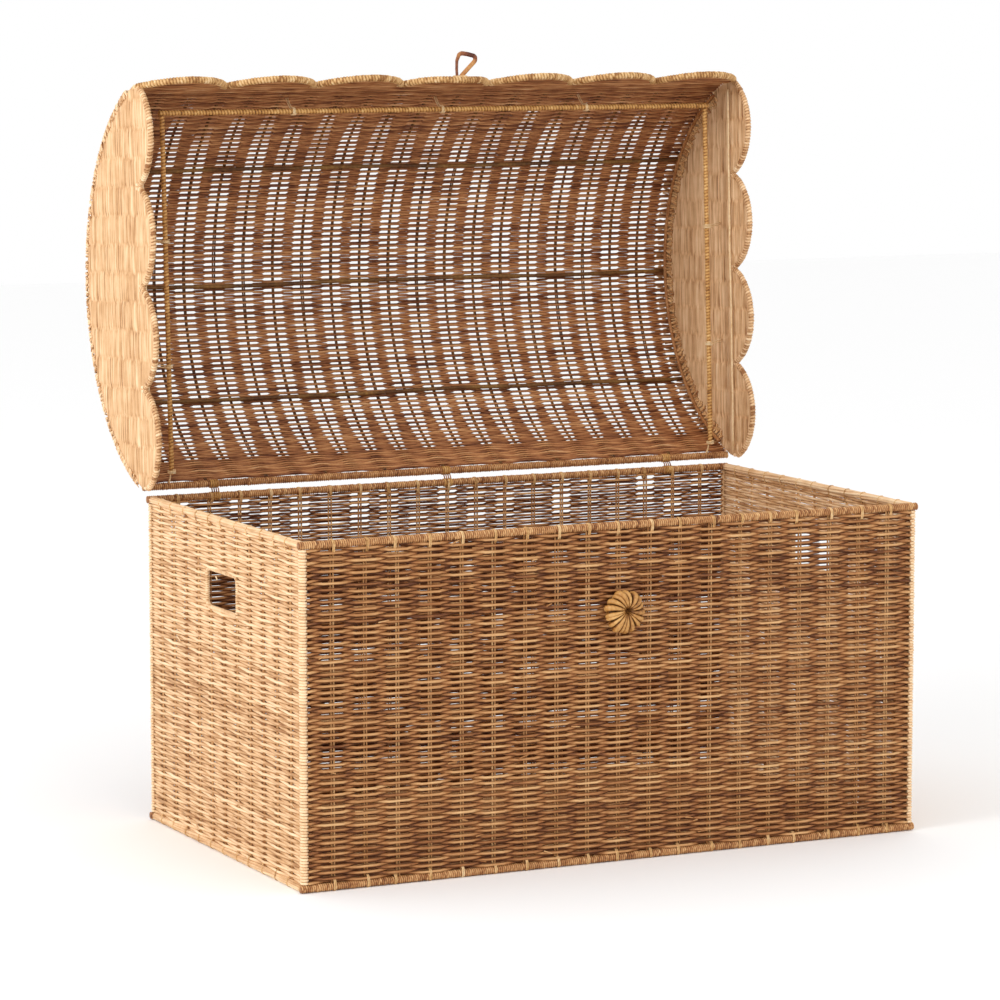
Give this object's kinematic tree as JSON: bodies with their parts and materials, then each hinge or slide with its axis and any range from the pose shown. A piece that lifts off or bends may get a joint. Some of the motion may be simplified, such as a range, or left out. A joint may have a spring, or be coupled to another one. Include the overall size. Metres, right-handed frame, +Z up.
{
  "type": "woven storage trunk",
  "caption": "Rectangular woven cane storage trunk with a hinged domed lid, scalloped lid edge, hand-holes, knob and loop catch.",
  "frame": {"origin": "centre of the underside of the base, on the surface the trunk stands on", "axes": "+X to the right as seen from the front, +Y to the back (hinge side), +Z up; the lid is drawn open"},
  "size_m": [0.817, 0.6653, 0.9246],
  "materials": {
    "cane_warm": "satin varnished cane",
    "cane_pale": "satin varnished cane, pale",
    "rim_peel": "satin peel",
    "stake": "satin",
    "tie_peel": "matte peel",
    "honey_peel": "satin honey peel"
  },
  "bodies": {
    "base": {"top_rim_front": "rim_peel", "top_rim_back": "rim_peel", "top_rim_left": "rim_peel", "top_rim_right": "rim_peel", "bottom_rim_front": "rim_peel", "bottom_rim_back": "rim_peel", "bottom_rim_left": "rim_peel", "bottom_rim_right": "rim_peel", "corner_post_1": "cane_pale", "corner_post_2": "cane_pale", "corner_post_3": "cane_pale", "corner_post_4": "cane_pale", "front_wall": "cane_warm", "back_wall": "cane_warm", "left_wall": "cane_pale", "right_wall": "cane_pale", "front_stakes": "stake", "back_stakes": "stake", "left_stakes": "stake", "right_stakes": "stake", "floor_panel": "cane_warm", "floor_slat_1": "stake", "floor_slat_2": "stake", "floor_slat_3": "stake", "left_handhole_rim": "honey_peel", "right_handhole_rim": "honey_peel", "rim_ties_front": "tie_peel", "rim_ties_back": "tie_peel", "rim_ties_left": "tie_peel", "rim_ties_right": "tie_peel", "knob": "honey_peel", "knob_lashing": "tie_peel", "knob_toggle": "stake", "lower_hinge_loops": "tie_peel"},
    "lid": {"lid_rim_back": "rim_peel", "lid_frame_front": "rim_peel", "lid_frame_left": "rim_peel", "lid_frame_right": "rim_peel", "dome_panel": "cane_warm", "left_gable": "cane_pale", "right_gable": "cane_pale", "front_skirt": "cane_pale", "dome_bar_1": "rim_peel", "dome_bar_2": "rim_peel", "dome_bar_3": "rim_peel", "left_arch": "rim_peel", "right_arch": "rim_peel", "dome_stakes": "stake", "left_gable_stakes": "stake", "right_gable_stakes": "stake", "front_edge_binding": "tie_peel", "left_edge_binding": "tie_peel", "right_edge_binding": "tie_peel", "frame_ties": "tie_peel", "upper_hinge_loops": "tie_peel", "loop_eye": "tie_peel"},
    "closure_loop_body": {"closure_loop": "honey_peel"}
  },
  "joints": [
    {"name": "lid_hinge", "type": "hinge", "parent": "base", "child": "lid", "pos_m": [0, 0.235, 0.402], "axis": [1, 0, 0], "range_deg": [0, 92.75]},
    {"name": "loop_swing", "type": "hinge", "parent": "lid", "child": "closure_loop_body", "pos_m": [0.005, 0.20265, 0.89562], "axis": [1, 0, 0], "range_deg": [-60, 60]}
  ]
}
